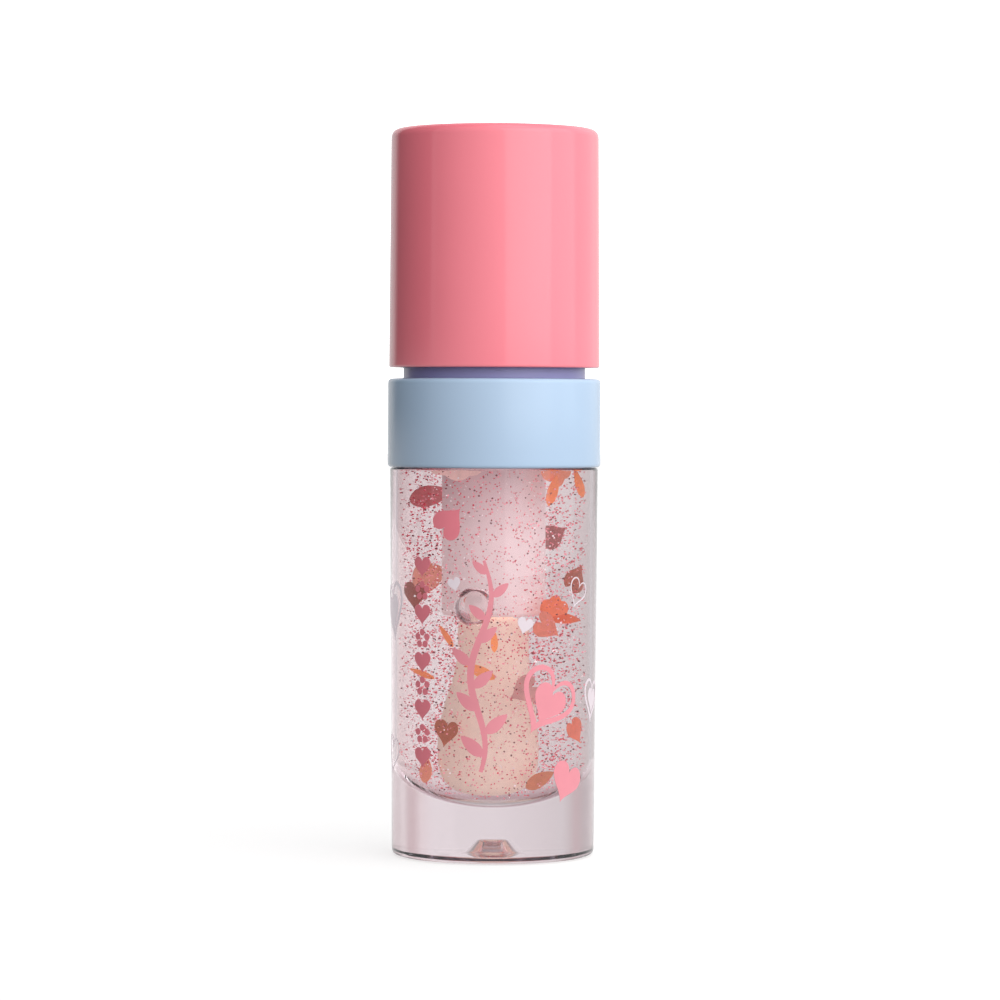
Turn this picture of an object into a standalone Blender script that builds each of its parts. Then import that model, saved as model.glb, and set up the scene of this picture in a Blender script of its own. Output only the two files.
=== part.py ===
"""A round lip gloss tube: clear bottle, push-fit collar, wiper, gloss with foil hearts and petals, and a
screw cap that carries the applicator wand. Metres, +Z up, origin at the middle of the base."""

import math

import bmesh
import bpy
from mathutils import Euler, Matrix, Vector

MM = 0.001
GAP = 0.3 * MM                 # clearance between pieces that touch on the real tube
ROUND = 40                     # steps round a turned piece
SMALL_ROUND = 28               # steps round a thin turned piece

# Bottle, clear and heavy-walled
BASE_R = 10.475 * MM
SHOULDER_R = 10.75 * MM
SHOULDER_Z = 40.0 * MM
BOSS_R = 9.3 * MM              # the reduced top that the collar is pushed over
BOSS_TOP_Z = 47.4 * MM
BORE_R = 6.8 * MM
FLOOR_Z = 5.3 * MM
BOWL_HEIGHT = 4.6 * MM         # the rounded bottom of the bore
BORE_TOP_Z = 45.0 * MM
NECK_R = 6.7 * MM
NECK_BORE_R = 5.5 * MM
NECK_TOP_Z = 60.5 * MM
FOOT_RECESS = 0.6 * MM
DIMPLE_TOP_Z = 2.1 * MM        # moulding gate mark under the base

# Screw thread, one start, cut short at the crests so the two sides pass each other
THREAD_LEAD = 3.0 * MM
THREAD_TURNS = 2
THREAD_STEPS = 20              # steps in each turn
THREAD_HEIGHT = 0.6 * MM
THREAD_FOOT = 1.2 * MM
THREAD_CREST = 0.5 * MM
NECK_THREAD_Z = 53.5 * MM
CAP_THREAD_Z = 54.2 * MM

# Collar
COLLAR_R = 11.0 * MM
COLLAR_Z = SHOULDER_Z + GAP
COLLAR_TOP_Z = 49.2 * MM
SPIGOT_R = 9.4 * MM
SPIGOT_TOP_Z = 52.3 * MM

# Wiper
WIPER_R = NECK_BORE_R - GAP
WIPER_BORE_R = 4.6 * MM
WIPER_LIP_R = 4.2 * MM
WIPER_Z = 46.0 * MM

# Cap
CAP_R = 10.9 * MM
CAP_TOP_R = 10.725 * MM
CAP_Z = 50.3 * MM
CAP_TOP_Z = 75.2 * MM
CAP_INNER_R = 9.75 * MM
LINER_R = 8.8 * MM
LINER_BORE_R = 8.2 * MM
LINER_Z = 52.7 * MM
LINER_TOP_Z = 66.5 * MM
WEB_Z = 63.8 * MM
WEB_TOP_Z = 65.3 * MM
RIB_COUNT = 12

# Wand
STEM_R = 3.65 * MM
STEM_Z = 24.8 * MM
STEM_FLANGE_Z = 62.8 * MM
SOCKET_R = 1.7 * MM
SOCKET_TOP_Z = 31.0 * MM
TIP_Z = 6.0 * MM
TIP_LEAN = 0.35 * MM           # the tip's belly sits this far off the axis, towards -X
WASHER_Z = 61.7 * MM
WASHER_TOP_Z = 62.5 * MM

# Gloss and what floats in it
GLOSS_R = BORE_R - GAP
GLOSS_TOP_Z = 43.5 * MM
WELL_R = 4.2 * MM              # room for the wand in the gloss
FOIL_THICKNESS = 0.15 * MM

# Each foil: name, outline, angle round the tube, height, distance from the axis, width, length,
# lean in its own plane, and turn of its face away from the tube's wall. Millimetres and degrees.
FOILS = (
    ("foil_petal_plum", "petal", 139, 36.85, 5.2, 2.1, 5.2, -82, 0),
    ("foil_fan_salmon", "fan", -124, 39.85, 5.3, 6.2, 2.4, 180, 0),
    ("foil_rose_orange", "fan", -25, 39.6, 5.5, 3.6, 3.2, 172, -20),
    ("foil_petal_orange", "petal", -32, 37.65, 5.6, 1.0, 3.2, 14, -20),
    ("foil_petal_amber", "petal", 4, 38.25, 6.15, 0.8, 3.0, -17, -35),
    ("foil_heart_maroon", "heart", 45, 32.95, 5.2, 2.5, 3.0, 120, 0),
    ("foil_heart_brown", "heart", 7, 28.7, 5.8, 2.6, 3.0, 215, -28),
    ("foil_rose_copper", "fan", -23, 25.85, 5.1, 3.0, 2.2, 10, -30),
    ("foil_petal_rust", "petal", -7, 24.55, 5.2, 1.1, 3.2, 100, -40),
    ("foil_heart_coral", "heart", -36, 23.7, 5.5, 2.7, 3.2, -55, 0),
    ("foil_heart_umber", "heart", -175, 26.7, 5.9, 2.3, 3.0, 0, 30),
    ("foil_petal_clay", "petal", 139, 28.55, 5.2, 3.0, 4.2, -75, 0),
    ("foil_sliver_orange", "petal", -136, 22.85, 5.3, 0.6, 2.6, -35, 0),
    ("foil_sliver_amber", "petal", -174, 18.85, 5.3, 0.6, 3.2, -75, 20),
    ("foil_petal_peach", "petal", -102, 19.35, 5.3, 1.1, 2.9, -60, 0),
    ("foil_sliver_peach", "petal", -89, 22.4, 5.3, 0.6, 2.2, 0, 0),
    ("foil_heart_sienna", "heart", -136, 12.9, 5.3, 2.5, 2.8, 10, 0),
    ("foil_heart_mauve", "heart", -61, 17.3, 5.2, 3.0, 3.0, 60, 0),
    ("foil_heart_salmon", "heart", -6, 12.9, 6.2, 2.2, 2.8, -30, -14),
    ("foil_petal_coral", "petal", -172, 8.95, 5.0, 1.2, 2.9, 4, 30),
    ("foil_petal_copper", "petal", -40, 8.15, 4.9, 1.5, 3.4, 65, 0),
)
FOIL_COLOURS = {
    "heart": (0.45, 0.16, 0.10),
    "petal": (0.85, 0.30, 0.10),
    "fan": (0.80, 0.36, 0.25),
}


def clear_scene():
    for thing in list(bpy.data.objects):
        bpy.data.objects.remove(thing, do_unlink=True)


def material(name, colour, roughness, metallic=0.0, transmission=0.0):
    made = bpy.data.materials.new(name)
    made.use_nodes = True
    shader = made.node_tree.nodes["Principled BSDF"]
    shader.inputs["Base Color"].default_value = (*colour, 1.0)
    shader.inputs["Roughness"].default_value = roughness
    shader.inputs["Metallic"].default_value = metallic
    shader.inputs["Transmission Weight"].default_value = transmission
    return made


def to_object(name, bm, finish=None):
    """Closes off a bmesh as a smooth-shaded object in the scene."""
    bmesh.ops.recalc_face_normals(bm, faces=bm.faces)
    mesh = bpy.data.meshes.new(name)
    bm.to_mesh(mesh)
    bm.free()
    if finish:
        mesh.materials.append(finish)
    mesh.shade_smooth()
    mesh.set_sharp_from_angle(angle=math.radians(35))
    made = bpy.data.objects.new(name, mesh)
    bpy.context.collection.objects.link(made)
    return made


def arc(centre_r, centre_z, radius, start, end, steps, height=None):
    """Points of a circular arc in the profile plane, or of an elliptical one if height is given."""
    height = radius if height is None else height
    points = []
    for i in range(steps + 1):
        angle = math.radians(start + (end - start) * i / steps)
        points.append((centre_r + radius * math.cos(angle), centre_z + height * math.sin(angle)))
    return points


def turned(name, profile, finish, steps=ROUND):
    """Turns a profile of (radius, height) points about Z. One that leaves the axis is a closed ring."""
    bm = bmesh.new()
    verts = [bm.verts.new((r, 0.0, z)) for r, z in profile]
    edges = [bm.edges.new(pair) for pair in zip(verts, verts[1:])]
    if profile[0][0] > 0.0:
        edges.append(bm.edges.new((verts[-1], verts[0])))
    bmesh.ops.spin(bm, geom=verts + edges, cent=(0, 0, 0), axis=(0, 0, 1), angle=math.tau,
                   steps=steps, use_merge=True)
    bmesh.ops.remove_doubles(bm, verts=bm.verts, dist=1e-7)
    return to_object(name, bm, finish)


def cutter(made):
    made.hide_render = True
    made.display_type = "WIRE"
    return made


def combine(target, tool, operation):
    step = target.modifiers.new(tool.name, "BOOLEAN")
    step.object = cutter(tool)
    step.operation = operation


def thread(name, root_r, direction, start_z):
    """A helical ridge on a wall of radius root_r, facing outwards (+1) or inwards (-1)."""
    bm = bmesh.new()
    embed = 0.25 * MM
    count = THREAD_TURNS * THREAD_STEPS
    rings = []
    for i in range(count + 1):
        angle = math.tau * i / THREAD_STEPS
        middle = start_z + THREAD_LEAD * i / THREAD_STEPS
        fade = min(1.0, 0.25 + i / 5, 0.25 + (count - i) / 5)
        inner = root_r - direction * embed
        crest = root_r + direction * THREAD_HEIGHT * fade
        ring = []
        for r, z in ((inner, -THREAD_FOOT / 2), (crest, -THREAD_CREST / 2),
                     (crest, THREAD_CREST / 2), (inner, THREAD_FOOT / 2)):
            ring.append(bm.verts.new((r * math.cos(angle), r * math.sin(angle), middle + z)))
        rings.append(ring)
    for low, high in zip(rings, rings[1:]):
        for k in range(4):
            bm.faces.new((low[k], low[(k + 1) % 4], high[(k + 1) % 4], high[k]))
    bm.faces.new(rings[0])
    bm.faces.new(rings[-1])
    return to_object(name, bm)


def make_bottle(finish):
    foot_r = 8.4 * MM
    edge = 0.5 * MM
    bead = 0.3 * MM
    bead_z = 43.7 * MM
    profile = [(0.0, DIMPLE_TOP_Z), (1.0 * MM, DIMPLE_TOP_Z), (1.9 * MM, FOOT_RECESS),
               (foot_r - 0.4 * MM, FOOT_RECESS), (foot_r, 0.0)]
    profile += arc(BASE_R - edge, edge, edge, -90, 0, 3)
    profile += [(SHOULDER_R, SHOULDER_Z - 0.2 * MM), (SHOULDER_R - 0.2 * MM, SHOULDER_Z),
                (BOSS_R, SHOULDER_Z), (BOSS_R, bead_z - 0.7 * MM), (BOSS_R + bead, bead_z - bead),
                (BOSS_R + bead, bead_z + bead), (BOSS_R, bead_z + 0.7 * MM),
                (BOSS_R, BOSS_TOP_Z - bead), (BOSS_R - bead, BOSS_TOP_Z), (NECK_R, BOSS_TOP_Z),
                (NECK_R, NECK_TOP_Z - bead), (NECK_R - bead, NECK_TOP_Z),
                (NECK_BORE_R + bead, NECK_TOP_Z), (NECK_BORE_R, NECK_TOP_Z - bead),
                (NECK_BORE_R, 48.0 * MM), (BORE_R, BORE_TOP_Z)]
    profile += arc(0.0, FLOOR_Z + BOWL_HEIGHT, BORE_R, 0, -90, 7, height=BOWL_HEIGHT)
    profile[-1] = (0.0, FLOOR_Z)
    bottle = turned("bottle", profile, finish)
    combine(bottle, thread("neck_thread", NECK_R, 1, NECK_THREAD_Z), "UNION")
    return bottle


def make_collar(finish):
    edge = 0.3 * MM
    inner = BOSS_R + GAP
    groove = inner + 0.3 * MM
    web_z = BOSS_TOP_Z + GAP
    profile = [(inner, COLLAR_Z), (COLLAR_R - edge, COLLAR_Z), (COLLAR_R, COLLAR_Z + edge),
               (COLLAR_R, COLLAR_TOP_Z - edge), (COLLAR_R - edge, COLLAR_TOP_Z),
               (SPIGOT_R, COLLAR_TOP_Z), (SPIGOT_R, SPIGOT_TOP_Z - edge),
               (SPIGOT_R - edge, SPIGOT_TOP_Z), (SPIGOT_R - 1.0 * MM, SPIGOT_TOP_Z),
               (SPIGOT_R - 1.0 * MM, COLLAR_TOP_Z), (NECK_R + GAP, COLLAR_TOP_Z),
               (NECK_R + GAP, web_z), (inner, web_z), (inner, 44.8 * MM), (groove, 44.4 * MM),
               (groove, 43.0 * MM), (inner, 42.6 * MM)]
    return turned("collar", profile, finish)


def make_wiper(finish):
    flange_z = NECK_TOP_Z + GAP
    profile = [(WIPER_R, flange_z), (WIPER_R, 48.6 * MM), (4.95 * MM, 46.9 * MM),
               (WIPER_LIP_R + 0.3 * MM, WIPER_Z), (WIPER_LIP_R, WIPER_Z),
               (WIPER_LIP_R, WIPER_Z + 0.4 * MM), (WIPER_BORE_R, 47.7 * MM),
               (WIPER_BORE_R, flange_z + 0.6 * MM), (6.4 * MM, flange_z + 0.6 * MM),
               (6.4 * MM, flange_z)]
    return turned("wiper", profile, finish, SMALL_ROUND)


def make_cap_shell(finish):
    edge = 0.7 * MM
    rim_z = 74.9 * MM
    wall_top_z = 73.2 * MM
    inner_top_r = CAP_INNER_R - 0.15 * MM
    profile = [(0.0, wall_top_z + 0.4 * MM), (inner_top_r - 0.4 * MM, wall_top_z + 0.4 * MM),
               (inner_top_r, wall_top_z), (CAP_INNER_R, CAP_Z + 0.2 * MM),
               (CAP_INNER_R + 0.2 * MM, CAP_Z), (CAP_R - 0.25 * MM, CAP_Z), (CAP_R, CAP_Z + 0.25 * MM)]
    profile += arc(CAP_TOP_R - edge, rim_z - edge, edge, 0, 90, 4)
    profile += [(6.0 * MM, 75.1 * MM), (0.0, CAP_TOP_Z)]
    return turned("cap_shell", profile, finish)


def make_liner(finish):
    profile = [(LINER_BORE_R + 0.2 * MM, LINER_Z), (LINER_R, LINER_Z), (LINER_R, LINER_TOP_Z),
               (LINER_R - 0.8 * MM, LINER_TOP_Z), (LINER_R - 0.8 * MM, WEB_TOP_Z),
               (2.7 * MM, WEB_TOP_Z), (2.7 * MM, WEB_Z), (LINER_BORE_R, WEB_Z),
               (LINER_BORE_R, LINER_Z + 0.5 * MM)]
    liner = turned("inner_cap", profile, finish)
    combine(liner, thread("cap_thread", LINER_BORE_R, -1, CAP_THREAD_Z), "UNION")
    combine(liner, rib_ring(), "UNION")
    return liner


def rib_ring():
    """Upright ribs round the inner cap, which grip the shell."""
    bm = bmesh.new()
    size = Vector((0.9 * MM, 0.9 * MM, LINER_TOP_Z - LINER_Z - 2.0 * MM))
    middle = Vector((LINER_R + 0.05 * MM, 0.0, (LINER_TOP_Z + LINER_Z) / 2))
    for i in range(RIB_COUNT):
        turn = Matrix.Rotation(math.tau * (i + 0.5) / RIB_COUNT, 4, "Z")
        place = turn @ Matrix.Translation(middle) @ Matrix.Diagonal(size.to_4d())
        bmesh.ops.create_cube(bm, size=1.0, matrix=place)
    return to_object("ribs", bm)


def make_washer(finish):
    inner = STEM_R + 0.4 * MM
    outer = 6.3 * MM
    profile = [(inner, WASHER_Z), (outer, WASHER_Z), (outer, WASHER_TOP_Z), (inner, WASHER_TOP_Z)]
    return turned("seal_washer", profile, finish, SMALL_ROUND)


def make_stem(finish):
    plug_r = 2.4 * MM
    barb_r = 3.1 * MM
    flange_r = 5.8 * MM
    flange_top_z = WEB_Z - GAP
    barb_z = WEB_TOP_Z + GAP
    edge = 0.4 * MM
    profile = [(0.0, SOCKET_TOP_Z), (SOCKET_R, SOCKET_TOP_Z), (SOCKET_R, STEM_Z),
               (STEM_R - edge, STEM_Z), (STEM_R, STEM_Z + edge), (STEM_R, STEM_FLANGE_Z),
               (flange_r, STEM_FLANGE_Z), (flange_r, flange_top_z), (plug_r, flange_top_z),
               (plug_r, barb_z), (barb_r, barb_z), (plug_r, barb_z + 0.7 * MM),
               (0.0, barb_z + 0.7 * MM)]
    return turned("stem", profile, finish, SMALL_ROUND)


def make_tip(finish):
    """The soft applicator: a stalk plugged into the stem, then a neck that swells into a rounded belly."""
    stalk_r = SOCKET_R - GAP
    stalk_top_z = SOCKET_TOP_Z - GAP
    shoulder_z = STEM_Z - GAP
    outline_mm = ((1.6, 6.2), (2.6, 6.9), (3.2, 8.0), (3.48, 9.5), (3.55, 11.2), (3.45, 13.4),
                  (3.15, 15.9), (2.75, 18.4), (2.5, 20.8), (2.5, 23.2), (2.35, 24.2))
    profile = [(0.0, TIP_Z)]
    profile += [(r * MM, z * MM) for r, z in outline_mm]
    profile += [(2.1 * MM, shoulder_z), (stalk_r, shoulder_z), (stalk_r, stalk_top_z),
                (0.0, stalk_top_z)]
    tip = turned("applicator_tip", profile, finish, SMALL_ROUND)
    neck_z = 22.0 * MM
    belly_z = 12.0 * MM
    for vert in tip.data.vertices:
        share = min(1.0, max(0.0, (neck_z - vert.co.z) / (neck_z - belly_z)))
        vert.co.x -= TIP_LEAN * share * share * (3 - 2 * share)
    return tip


def heart_outline(width, length):
    """A heart with its point down, inside a width by length box about the origin."""
    points = []
    for i in range(22):
        t = math.tau * i / 22
        across = math.sin(t) ** 3
        along = (13 * math.cos(t) - 5 * math.cos(2 * t) - 2 * math.cos(3 * t) - math.cos(4 * t) + 2.5) / 14.5
        points.append((across * width / 2, along * length / 2))
    return points


def petal_outline(width, length):
    """A leaf shape, pointed at both ends and fuller towards its lower end."""
    points = []
    for i in range(18):
        t = math.tau * i / 18
        across = math.sin(t) * abs(math.sin(t)) ** 0.4 * (1 - 0.25 * math.cos(t))
        points.append((across * width / 2, math.cos(t) * length / 2))
    return points


def fan_outline(width, length):
    """A half-open flower: a fan with three lobes along its round side, narrow at the bottom."""
    points = [(0.0, -length / 2)]
    for i in range(19):
        t = math.radians(-75 + 150 * i / 18)
        reach = 0.86 + 0.14 * abs(math.cos(3 * math.radians(-90 + 180 * i / 18)))
        points.append((math.sin(t) * reach * width / 2, (math.cos(t) * reach - 0.5) * length))
    return points


OUTLINES = {"heart": heart_outline, "petal": petal_outline, "fan": fan_outline}


def make_foil(name, shape, angle, height, radius, width, length, lean, turn, finish):
    """A thin flat cut-out standing in the gloss, its face towards the tube's wall unless turned."""
    bm = bmesh.new()
    outline = OUTLINES[shape](width * MM, length * MM)
    face = bm.faces.new([bm.verts.new((u, -FOIL_THICKNESS / 2, v)) for u, v in outline])
    grown = bmesh.ops.extrude_face_region(bm, geom=[face])
    for item in grown["geom"]:
        if isinstance(item, bmesh.types.BMVert):
            item.co.y += FOIL_THICKNESS
    foil = to_object(name, bm, finish)
    around = math.radians(angle)
    foil.location = (radius * MM * math.cos(around), radius * MM * math.sin(around), height * MM)
    foil.rotation_euler = Euler((0.0, math.radians(lean), math.radians(angle + 90 + turn)))
    return foil


def notch_round(foil, angle):
    """A block that frees the foil from the gloss, open to the bottle's wall."""
    inwards = Matrix.Rotation(-math.radians(angle), 4, "Z")
    bpy.context.view_layer.update()
    corners = [inwards @ foil.matrix_world @ vert.co for vert in foil.data.vertices]
    low = [min(corner[k] for corner in corners) - GAP for k in range(3)]
    high = [max(corner[k] for corner in corners) + GAP for k in range(3)]
    high[0] = BORE_R + 1.0 * MM
    size = Vector([high[k] - low[k] for k in range(3)])
    middle = Vector([(high[k] + low[k]) / 2 for k in range(3)])
    bm = bmesh.new()
    place = inwards.inverted() @ Matrix.Translation(middle) @ Matrix.Diagonal(size.to_4d())
    bmesh.ops.create_cube(bm, size=1.0, matrix=place)
    return to_object("notch_" + foil.name, bm)


def make_gloss(finish, foils):
    """The gloss fills the bore up to its level, with a well for the wand and a notch for each foil."""
    bowl_z = FLOOR_Z + BOWL_HEIGHT
    well_floor_z = TIP_Z - GAP
    profile = arc(0.0, bowl_z, GLOSS_R, -90, 0, 7, height=BOWL_HEIGHT - 0.25 * MM)
    profile[0] = (0.0, bowl_z - BOWL_HEIGHT + 0.15 * MM)
    profile += [(GLOSS_R, GLOSS_TOP_Z), (WELL_R, GLOSS_TOP_Z)]
    profile += arc(0.0, well_floor_z + 3.6 * MM, WELL_R, 0, -90, 5, height=3.6 * MM)
    profile[-1] = (0.0, well_floor_z)
    gloss = turned("gloss", profile, finish)
    for foil, angle in foils:
        combine(gloss, notch_round(foil, angle), "DIFFERENCE")
    return gloss


def main():
    clear_scene()
    clear = material("clear_plastic", (0.95, 0.93, 0.94), 0.05, transmission=0.9)
    blue = material("blue_plastic", (0.50, 0.66, 0.85), 0.25)
    pink = material("pink_plastic", (0.93, 0.28, 0.37), 0.15)
    frosted = material("frosted_plastic", (0.86, 0.78, 0.80), 0.4)
    white = material("white_plastic", (0.88, 0.88, 0.86), 0.4)
    foam = material("seal_foam", (0.90, 0.90, 0.88), 0.8)
    flock = material("soft_flock", (0.88, 0.76, 0.66), 0.9)
    gel = material("gloss_gel", (0.90, 0.74, 0.78), 0.05, transmission=0.8)
    foil_finish = {shape: material("foil_" + shape, colour, 0.35, metallic=0.6)
                   for shape, colour in FOIL_COLOURS.items()}

    make_bottle(clear)
    make_collar(blue)
    make_wiper(white)
    make_cap_shell(pink)
    make_liner(white)
    make_washer(foam)
    make_stem(frosted)
    make_tip(flock)
    foils = []
    for row in FOILS:
        foils.append((make_foil(*row, foil_finish[row[1]]), row[2]))
    make_gloss(gel, foils)


main()
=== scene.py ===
"""Looks of a round lip gloss tube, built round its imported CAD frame. Lengths are in millimetres until
they reach a mesh, +Z is up, and azimuths run from the front (-Y) towards +X."""

import math
import random

import bmesh
import bpy
from mathutils import Euler, Matrix, Vector


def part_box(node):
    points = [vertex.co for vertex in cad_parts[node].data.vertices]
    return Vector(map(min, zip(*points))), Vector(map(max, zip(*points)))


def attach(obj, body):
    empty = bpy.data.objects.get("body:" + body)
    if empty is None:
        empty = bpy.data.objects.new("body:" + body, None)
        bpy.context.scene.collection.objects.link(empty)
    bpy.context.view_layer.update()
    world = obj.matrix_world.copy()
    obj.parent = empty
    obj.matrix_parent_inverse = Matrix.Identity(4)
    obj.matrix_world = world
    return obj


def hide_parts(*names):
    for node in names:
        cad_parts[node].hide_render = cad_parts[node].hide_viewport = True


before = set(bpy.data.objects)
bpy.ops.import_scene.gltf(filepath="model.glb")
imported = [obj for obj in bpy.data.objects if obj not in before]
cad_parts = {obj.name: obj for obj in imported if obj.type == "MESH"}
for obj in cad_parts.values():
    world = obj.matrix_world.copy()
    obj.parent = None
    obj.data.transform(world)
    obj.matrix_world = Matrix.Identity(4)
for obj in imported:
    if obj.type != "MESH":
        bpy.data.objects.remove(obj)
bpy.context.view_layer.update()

MM = 0.001


def extent(node):
    """Largest radius, lowest and highest point of a CAD node, in millimetres."""
    low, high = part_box(node)
    return max(high.x, high.y) / MM, low.z / MM, high.z / MM


SHOULDER_R, _, NECK_TOP_Z = extent("bottle")
COLLAR_R, COLLAR_Z, SPIGOT_TOP_Z = extent("collar")
CAP_R, CAP_Z, CAP_TOP_Z = extent("cap_shell")
_, LINER_Z, LINER_TOP_Z = extent("inner_cap")
STEM_FLANGE_R, STEM_Z, STEM_TOP_Z = extent("stem")
GLOSS_TOP_Z = extent("gloss")[2]

GAP = 0.3                     # the CAD's clearance between touching pieces
SKIRT = 0.24                  # how far the collar's skin comes down into that clearance
TURN_STEPS = 160              # steps round a turned piece

# Bottle
BASE_R = 10.475
SHOULDER_Z = COLLAR_Z - GAP
BOSS_R = 9.3                  # the reduced top that the collar is pushed over
BOSS_TOP_Z = 47.4
SNAP_Z = 43.7                 # middle of the bead that the collar snaps over
SNAP_HALF = 0.7
SNAP_HEIGHT = 0.3
BORE_R = 6.8
BORE_TOP_Z = 45.0
FLOOR_Z = 5.3
BOWL_HEIGHT = 4.6             # the rounded bottom of the bore
BOWL_Z = FLOOR_Z + BOWL_HEIGHT
BORE_STATIONS = (15.0, 25.0, 35.0)   # heights of the rings along the straight bore
NECK_R = 6.7
NECK_BORE_R = 5.5
THROAT_Z = 48.0               # where the bore has narrowed to the neck's
FOOT_RECESS = 0.6
FOOT_RECESS_R = 8.0
FOOT_RING_R = 8.4
DIMPLE_R = 1.9                # moulding gate mark under the base
DIMPLE_TOP_R = 1.0
DIMPLE_TOP_Z = 2.1

# Collar
SPIGOT_R = 9.4
LEDGE_Z = 49.2                # top of the blue ring, where the spigot starts

# Threads, one start each
THREAD_LEAD = 3.0
THREAD_TURNS = 2
THREAD_HEIGHT = 0.6
NECK_THREAD_Z = 53.5
CAP_THREAD_Z = 54.2

# Wand
STEM_R = 3.65
TIP_OUTLINE = ((0.0, 6.0), (1.0, 6.07), (1.8, 6.3), (2.6, 6.9), (3.2, 8.0), (3.48, 9.5), (3.55, 11.2),
               (3.45, 13.4), (3.15, 15.9), (2.75, 18.4), (2.5, 20.8), (2.5, 23.2), (2.35, 24.2),
               (2.1, 24.5))
TIP_LEAN = 0.35

# Refraction: wall, gel, and the wall seen against the gel that wets it
WALL_IOR = 1.57
GEL_IOR = 1.47
WET_IOR = WALL_IOR / GEL_IOR
GEL_CLEARANCE = 0.02          # the gel's own skin stands this far inside the bore

# Air bubble caught in the gel
BUBBLE_CENTRE = Vector((-1.62, -4.75, 25.9))
BUBBLE_R = 1.38
BUBBLE_SHAPE = Vector((1.25, 1.0, 1.45))   # squeezed flat between stem and wall

# Painted light: glow standing in for light that the pale gel and walls scatter on to what is inside them
STEM_GLOW = 0.34
FLOCK_GLOW = 0.38
FOIL_GLOW = 0.45
# Painted light: the white prints glow so that they stay white on the shaded left of the tube
WHITE_INK_GLOW = 0.62

FOIL_THICKNESS = 0.06
FLECK_THICKNESS = 0.03
FLECK_MARGIN = 0.2            # flecks stay this far inside the bore and off the stem
INK_THICKNESS = 0.03
INK_LIFT = 0.004              # between the wall and the back of a print


# ---------------------------------------------------------------- colours and materials

def linear(*channels):
    """An 8-bit display colour as the linear values that shaders take."""
    out = []
    for channel in channels:
        c = channel / 255
        out.append(c / 12.92 if c <= 0.04045 else ((c + 0.055) / 1.055) ** 2.4)
    return (*out, 1.0)


def shaded(colour, factor):
    """A colour made darker or lighter, up to white."""
    return (*(min(1.0, c * factor) for c in colour[:3]), 1.0)


class Finish:
    """A material built round one Principled shader, with helpers for procedural detail."""

    def __init__(self, name, colour, roughness, **sockets):
        self.material = bpy.data.materials.new(name)
        self.material.use_nodes = True
        self.nodes = self.material.node_tree.nodes
        self.links = self.material.node_tree.links
        self.shader = self.nodes["Principled BSDF"]
        self.coordinates = self.nodes.new("ShaderNodeTexCoord").outputs["Object"]
        self.colour = colour
        self.set("Base Color", colour)
        self.set("Roughness", roughness)
        for socket, value in sockets.items():
            self.set(socket.replace("_", " "), value)

    def set(self, socket, value):
        """Sets a value on the shader's own socket."""
        self.shader.inputs[socket].default_value = value

    def noise(self, scale):
        """Noise over the piece, its size in millimetres given as scale."""
        texture = self.nodes.new("ShaderNodeTexNoise")
        texture.inputs["Scale"].default_value = 1 / (scale * MM)
        texture.inputs["Detail"].default_value = 3.0
        self.links.new(self.coordinates, texture.inputs["Vector"])
        return texture.outputs["Fac"]

    def ramp(self, factor, stops):
        """Colours at places along a factor that runs from 0 to 1."""
        node = self.nodes.new("ShaderNodeValToRGB")
        node.color_ramp.elements[0].position = stops[0][0]
        node.color_ramp.elements[0].color = stops[0][1]
        node.color_ramp.elements[1].position = stops[-1][0]
        node.color_ramp.elements[1].color = stops[-1][1]
        for position, colour in stops[1:-1]:
            node.color_ramp.elements.new(position).color = colour
        self.links.new(factor, node.inputs["Fac"])
        return node.outputs["Color"]

    def mottle(self, scale, low, high):
        """Colour drifting between two brightnesses of the base colour."""
        colour = self.ramp(self.noise(scale), ((0.3, shaded(self.colour, low)),
                                               (0.7, shaded(self.colour, high))))
        self.links.new(colour, self.shader.inputs["Base Color"])
        return self

    def glow(self, strength):
        """A little of the base colour as light."""
        self.set("Emission Color", self.colour)
        self.set("Emission Strength", strength)
        return self

    def uneven_gloss(self, scale, low, high):
        """Roughness drifting between two values."""
        value = self.nodes.new("ShaderNodeMapRange")
        value.inputs["To Min"].default_value = low
        value.inputs["To Max"].default_value = high
        self.links.new(self.noise(scale), value.inputs["Value"])
        self.links.new(value.outputs["Result"], self.shader.inputs["Roughness"])
        return self

    def bump(self, scale, strength, distance):
        """Fine unevenness, its size and height in millimetres given as scale and distance."""
        node = self.nodes.new("ShaderNodeBump")
        node.inputs["Strength"].default_value = strength
        node.inputs["Distance"].default_value = distance * MM
        self.links.new(self.noise(scale), node.inputs["Height"])
        self.links.new(node.outputs["Normal"], self.shader.inputs["Normal"])
        return self

    def fade_up(self, low_z, high_z, stops):
        """Colour that changes with height on the piece."""
        split = self.nodes.new("ShaderNodeSeparateXYZ")
        self.links.new(self.coordinates, split.inputs["Vector"])
        span = self.nodes.new("ShaderNodeMapRange")
        span.inputs["From Min"].default_value = low_z * MM
        span.inputs["From Max"].default_value = high_z * MM
        self.links.new(split.outputs["Z"], span.inputs["Value"])
        colour = self.ramp(span.outputs["Result"], stops)
        self.links.new(colour, self.shader.inputs["Base Color"])
        self.links.new(colour, self.shader.inputs["Emission Color"])
        return self


def clear(name, colour, ior):
    """A smooth clear material that refracts by the ratio given."""
    return Finish(name, colour, 0.0, IOR=ior, Transmission_Weight=1.0)


def wall_finish():
    return clear("clear_wall", (0.71, 0.62, 0.655, 1.0), WALL_IOR).bump(6.0, 0.02, 0.05).material


def wet_wall_finish():
    return clear("wall_against_gel", (1.0, 0.995, 0.997, 1.0), WET_IOR).bump(6.0, 0.02, 0.05).material


def gel_side_finish():
    return clear("gel_against_wall", (1.0, 0.965, 0.945, 1.0), 1.0).bump(6.0, 0.01, 0.01).material


def gel_surface_finish():
    return clear("gel_surface", (1.0, 0.975, 0.97, 1.0), GEL_IOR).bump(3.0, 0.03, 0.05).material


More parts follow.
